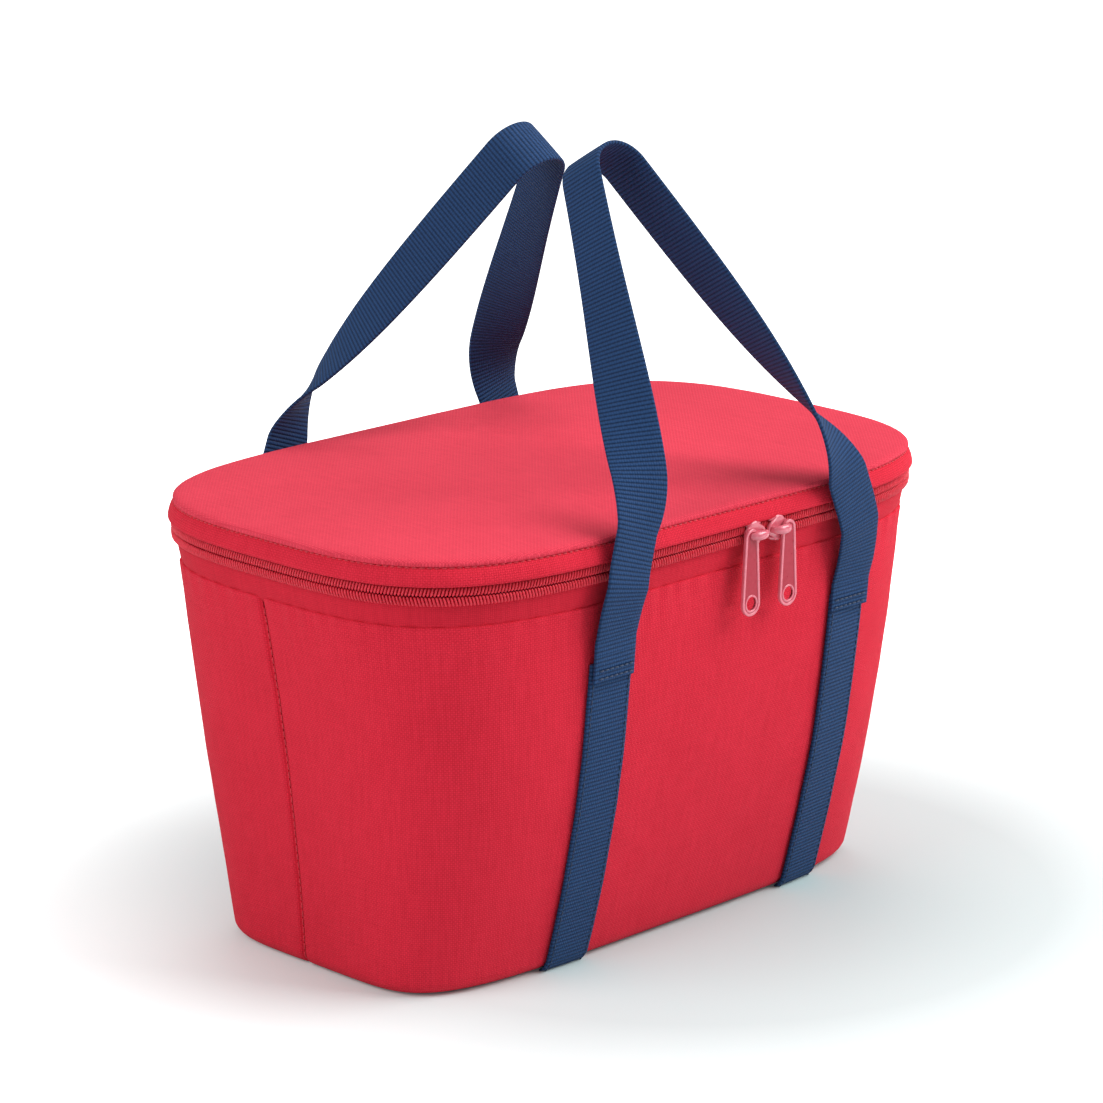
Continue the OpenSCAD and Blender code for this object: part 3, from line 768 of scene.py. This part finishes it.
# The pull's recessed web takes a darker copy of the same paint, as painted shade.
wire, end = finish("glossy_web_paint_painted_shade", 0.35, Coat_Weight=0.1, Coat_Roughness=0.2,
                   Specular_IOR_Level=0.3)
worn = wire.noise(wire.place(), 700.0, 3.0)
shaded_web_paint = end(Base_Color=worn.tint((0.40, 0.012, 0.035), (0.50, 0.030, 0.062)),
                Roughness=worn * 0.12 + 0.24)
plate_t = 1.4 * MM
nose_r, tail_r, waist_r, waist_x = 2.6 * MM, 3.2 * MM, 4.4 * MM, 0.6 * MM
rail_r, wire_r = 0.8 * MM, 0.95 * MM
head_r, eye_r, hole_r = 3.3 * MM, 1.2 * MM, 2.45 * MM
rim_w, hole_rim_w = 1.15 * MM, 0.8 * MM
web_t, rim_t, rim_bevel = 0.8 * MM, 1.3 * MM, 0.3 * MM


def plate(name, rings, place, thickness, bevel):
    """A flat plate with rounded edges that faces the front: its outer ring and its holes are
    lists of points in x and z from place, the middle of its thickness."""
    curve = bpy.data.curves.new(name, "CURVE")
    curve.dimensions, curve.fill_mode = "2D", "BOTH"
    curve.extrude, curve.offset = thickness / 2 - bevel, -bevel
    curve.bevel_depth, curve.bevel_resolution = bevel, 3
    for ring in rings:
        spline = curve.splines.new("POLY")
        spline.points.add(len(ring) - 1)
        spline.use_cyclic_u = True
        for point, (x, z) in zip(spline.points, ring):
            point.co = (x, z, 0, 1)
    drawn = bpy.data.objects.new(name + "_curve", curve)
    bpy.context.collection.objects.link(drawn)
    bpy.context.view_layer.update()
    mesh = bpy.data.meshes.new_from_object(drawn)
    bpy.data.objects.remove(drawn)
    for vertex in mesh.vertices:
        x, z, y = vertex.co
        vertex.co = (place[0] + x, place[1] - y, place[2] + z)
    mesh.flip_normals()
    mesh.shade_smooth()
    mesh.set_sharp_from_angle(angle=math.radians(50))
    made = bpy.data.objects.new(name, mesh)
    bpy.context.collection.objects.link(made)
    return made


def arc(middle, radius, start, stop, count=20):
    """Points on a circle in x and z, from one angle in degrees to another."""
    turns = np.radians(np.linspace(start, stop, count))
    return [(middle[0] + radius * math.cos(a), middle[1] + radius * math.sin(a)) for a in turns]


def tongue(end_z, end_r, inset):
    """A pull's outline from its rounded top to its round lower end, drawn in by inset."""
    return (arc((0, -0.6 * MM), head_r - inset, 0, 180, 14)
            + arc((0, end_z), end_r - inset, 176, 364, 30))


for name, way in ways.items():
    low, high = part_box(f"slider_{name}")
    middle_x = (low.x + high.x) / 2
    half_l = (high.x - low.x) / 2
    top_y = high.y - plate_t
    ring = (arc((-half_l + nose_r, 0), nose_r, 110, 250) + arc((waist_x, 0), waist_r, 250, 290)
            + arc((half_l - tail_r, 0), tail_r, -70, 70) + arc((waist_x, 0), waist_r, 70, 110))
    body = plate(f"slider_{name}_plate", [[(way * x, z) for x, z in ring][::way]],
                 (middle_x, top_y + plate_t / 2, zip_z), plate_t, 0.5 * MM)
    dress(body, paint, f"{name}_slider", "painted_slider", f"slider_{name}")
    flanges = [[(middle_x + k * half_l * 0.72, top_y + plate_t / 2 + 0.9 * MM * abs(k) ** 0.3,
                 zip_z + edge * (3.9 - 0.9 * k * k) * MM) for k in np.linspace(-1, 1, 9)]
               for edge in (-1, 1)]
    rail_radii = rail_r * np.array([0.5, 0.9] + [1] * 5 + [0.9, 0.5])
    rails = tubes(f"slider_{name}_rails", flanges, rail_radii, 10)
    dress(rails, paint, f"{name}_slider", "painted_slider")
    leg_x = half_l - 1.5 * MM
    crown_y = low.y + wire_r
    arch = [(middle_x + way * leg_x * math.cos(a),
             top_y + 0.2 * MM + (crown_y - top_y) * math.sin(a) ** 0.55,
             zip_z) for a in np.linspace(0.0, math.pi, 25)]
    widths = wire_r * (1 + 0.45 * np.sin(np.linspace(0, math.pi, 25)) ** 2)
    bridge = tubes(f"slider_{name}_bridge", [arch], widths, 14)
    for vertex in bridge.data.vertices:
        vertex.co.z = zip_z + (vertex.co.z - zip_z) * 1.25
        vertex.co.y = max(vertex.co.y, low.y)
    dress(bridge, paint, f"{name}_slider", "painted_slider")

    low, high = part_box(f"pull_{name}")
    eye_place = ((low.x + high.x) / 2, (low.y + high.y) / 2, zip_z)
    end_r = (high.x - low.x) / 2
    end_z = low.z + end_r - zip_z
    eye = arc((0, 0), eye_r, 0, 345, 24)
    hole = arc((0, end_z), hole_r, 0, 345, 28)
    around_hole = arc((0, end_z), hole_r + hole_rim_w, 0, 350, 30)
    web = plate(f"pull_{name}_web", [tongue(end_z, end_r, 0.5 * MM), eye, hole],
                eye_place, web_t, 0.1 * MM)
    rim_plate = plate(f"pull_{name}_rim", [tongue(end_z, end_r, 0), tongue(end_z, end_r, rim_w)],
                      eye_place, rim_t, rim_bevel)
    hole_rim = plate(f"pull_{name}_hole_rim", [around_hole, hole], eye_place, rim_t, rim_bevel)
    dress(web, shaded_web_paint, f"{name}_pull", "painted_slider", f"pull_{name}")
    dress(rim_plate, paint, f"{name}_pull", "painted_slider")
    dress(hole_rim, paint, f"{name}_pull", "painted_slider")

# ---- stitching ----
# Rows of short stitches hold the bag together: red thread along the lid's seam and beside the end
# seams, and navy thread down the edges of the sewn straps and across their tacks.


def thread_finish(name, dark, light):
    """Twisted polyester thread."""
    wire, end = finish(name, 0.5, 0.1)
    twist = wire.noise(wire.place(), 2500.0)
    return end(Base_Color=twist.tint(dark, light))


red_thread = thread_finish("red_thread", (0.45, 0.006, 0.020), (0.80, 0.030, 0.060))
navy_thread = thread_finish("navy_thread", (0.006, 0.016, 0.05), (0.03, 0.07, 0.16))


def stitches(name, points, out, length=2.4 * MM, gap=0.7 * MM, radius=0.28 * MM):
    """Stitches along a line of points, each a short raised thread whose ends go into the cloth."""
    run = run_along(points)
    starts = np.arange(0.3 * MM, run[-1] - length, length + gap)
    shares = np.array([0, 0.12, 0.5, 0.88, 1.0])
    lifts = np.array([-0.5, 0.35, 0.75, 0.35, -0.5]) * radius
    at = starts[:, None] + shares * length
    lines, ways_out = (np.stack([np.interp(at, run, values[:, k]) for k in range(3)], -1)
                       for values in (points, out))
    paths = lines + unit(ways_out) * lifts[:, None]
    return tubes(name, paths, np.array([0.5, 0.9, 1.0, 0.9, 0.5]) * radius)


here, _, away, _ = local_frame(lid_seam_z - 0.2 * MM, np.linspace(chain_start, chain_stop, 900))
row = stitches("lid_seam_stitches", here + away * (0.1 * MM), away,
               length=1.7 * MM, gap=0.8 * MM)
dress(row, red_thread, "lid", "red_cloth")

beside_seam = 1.6 * MM / girth
for name, seam_place in (("left", 0.5 - end_seam + beside_seam),
                         ("right", 1 + end_seam - beside_seam)):
    z = np.linspace(3 * MM, seam_z - 1 * MM, 120)
    points = np.concatenate([outline(h, np.array([seam_place])) for h in z])
    away = np.concatenate([outline(h, np.array([seam_place]), MM) for h in z]) - points
    points = points + unit(away) * (slack(points) - 0.15 * MM)[:, None]
    row = stitches(f"end_seam_{name}_stitches", points, away, radius=0.24 * MM)
    dress(row, red_thread, "bag", "red_cloth")

edge_in = strap_w / 2 - 1.5 * MM
for wall_side, side in sides.items():
    for name, way in ways.items():
        middle, across, facing = sewn_line(strap_middle + way * half_spread, side)
        facing = facing * np.sign(facing[:1, 1:2] * side)
        for edge_name, edge in ways.items():
            points = middle + edge * across * edge_in + facing * (strap_t / 2 + 0.05 * MM)
            row = stitches(f"strap_{wall_side}_{name}_edge_{edge_name}", points, facing,
                           length=2.0 * MM, gap=0.8 * MM, radius=0.2 * MM)
            dress(row, navy_thread, "bag", "webbing")
        middle, wide, thick = leg_sections(-overlap, way, side, twists["slow"])
        thick = thick * np.sign(thick[:1, 1:2] * side)
        share = np.linspace(-0.44, 0.44, 12)[:, None]
        for count, step in ((1, 1), (2, 3)):
            points = (middle[step] + share * strap_w * wide[step]
                      + thick[step] * (strap_t / 2 + 0.1 * MM))
            tack = stitches(f"tack_{wall_side}_{name}_{count}", points,
                            np.tile(thick[step], (12, 1)),
                            length=1.9 * MM, gap=0.5 * MM, radius=0.3 * MM)
            dress(tack, navy_thread, "bag", "webbing")

# ---- stage, lamps and camera ----
# The bag stands on a white floor that keeps its soft shadow, darkened and tinted cyan near the bag
# by painted shade that also cancels the bag's red bounce, and glowing for the camera more the
# farther it lies from the bag, as painted light. Two softboxes light it from right and left, with a
# little light from above, and the camera has the photograph's view.

floor_mesh = bpy.data.meshes.new("floor")
reach = 6.0
floor_mesh.from_pydata([(x * reach, y * reach, 0) for x, y in ((-1, -1), (1, -1), (1, 1), (-1, 1))],
                       [], [(0, 1, 2, 3)])
floor = bpy.data.objects.new("floor", floor_mesh)
bpy.context.collection.objects.link(floor)
wire, end = finish("white_floor", 0.9, Emission_Strength=1.0)
place = wire.place()
tone = wire.noise(place, 3.0)
seen = wire.add("ShaderNodeLightPath", output=0)
shadow_middle, shadow_r, least_painted_glow = (0.035, -0.035, 0), 0.13, 0.03
away = wire.add("ShaderNodeVectorMath", {"operation": "DISTANCE"}, {0: place, 1: shadow_middle}, 1)
# Painted light: for the camera the floor glows more the farther it lies from the shadow's middle.
painted_glow = seen * ((away - shadow_r) * 4.2).maths("MAXIMUM", least_painted_glow)
# Painted shade: the floor's colour darkens and turns cyan towards the bag, also cancelling the
# bag's red bounce; tone is random.
tone_and_painted_shade = away * 3.2 + tone * 0.1
floor_mesh.materials.append(end(Base_Color=tone_and_painted_shade.tint((0.48, 0.66, 0.66), (0.85, 0.87, 0.87)),
                                Emission_Color=painted_glow.tint((0, 0, 0), (1, 1, 1))))

world = bpy.data.worlds.new("studio")
world.use_nodes = True
bpy.context.scene.world = world
world.node_tree.nodes.clear()
sky = Wire(world.node_tree)
seen = sky.add("ShaderNodeLightPath", output=0)
light = sky.add("ShaderNodeBackground", None,
                {"Color": (1, 1, 1, 1), "Strength": seen * 0.75 + 0.25})
world_end = world.node_tree.nodes.new("ShaderNodeOutputWorld")
world.node_tree.links.new(light.socket, world_end.inputs[0])


lamp_aim = Vector((0, 0, 0.1))


def lamp(name, place, size, power):
    """A square softbox of that size, aimed at the bag."""
    data = bpy.data.lights.new(name, "AREA")
    data.shape, data.size, data.energy = "SQUARE", size, power
    made = bpy.data.objects.new(name, data)
    made.location = place
    made.rotation_euler = (lamp_aim - Vector(place)).to_track_quat("-Z", "Y").to_euler()
    bpy.context.collection.objects.link(made)


lamp("right_softbox", (1.0, -1.05, 1.4), 1.5, 39)
lamp("left_softbox", (-1.5, 0.3, 1.3), 1.2, 18)
lamp("top_softbox", (0.5, 0.55, 1.4), 0.8, 5)

photo_px, focal_px, middle_px = 1103, 4292.4, 500.6
azimuth, elevation = math.radians(-44.93), math.radians(15.37)
distance = 1558.6 * MM
aim = Vector((-12.1, 12.6, 129.1)) * MM
camera_data = bpy.data.cameras.new("camera")
camera = bpy.data.objects.new("camera", camera_data)
bpy.context.collection.objects.link(camera)
back = Vector((math.sin(azimuth) * math.cos(elevation), -math.cos(azimuth) * math.cos(elevation),
               math.sin(elevation)))
camera.location = aim + back * distance
camera.rotation_euler = back.to_track_quat("Z", "Y").to_euler()
camera_data.sensor_width = 36
camera_data.lens = focal_px / photo_px * camera_data.sensor_width
camera_data.shift_x = (photo_px / 2 - middle_px) / photo_px
bpy.context.scene.camera = camera
bpy.context.scene.view_settings.view_transform = "Standard"
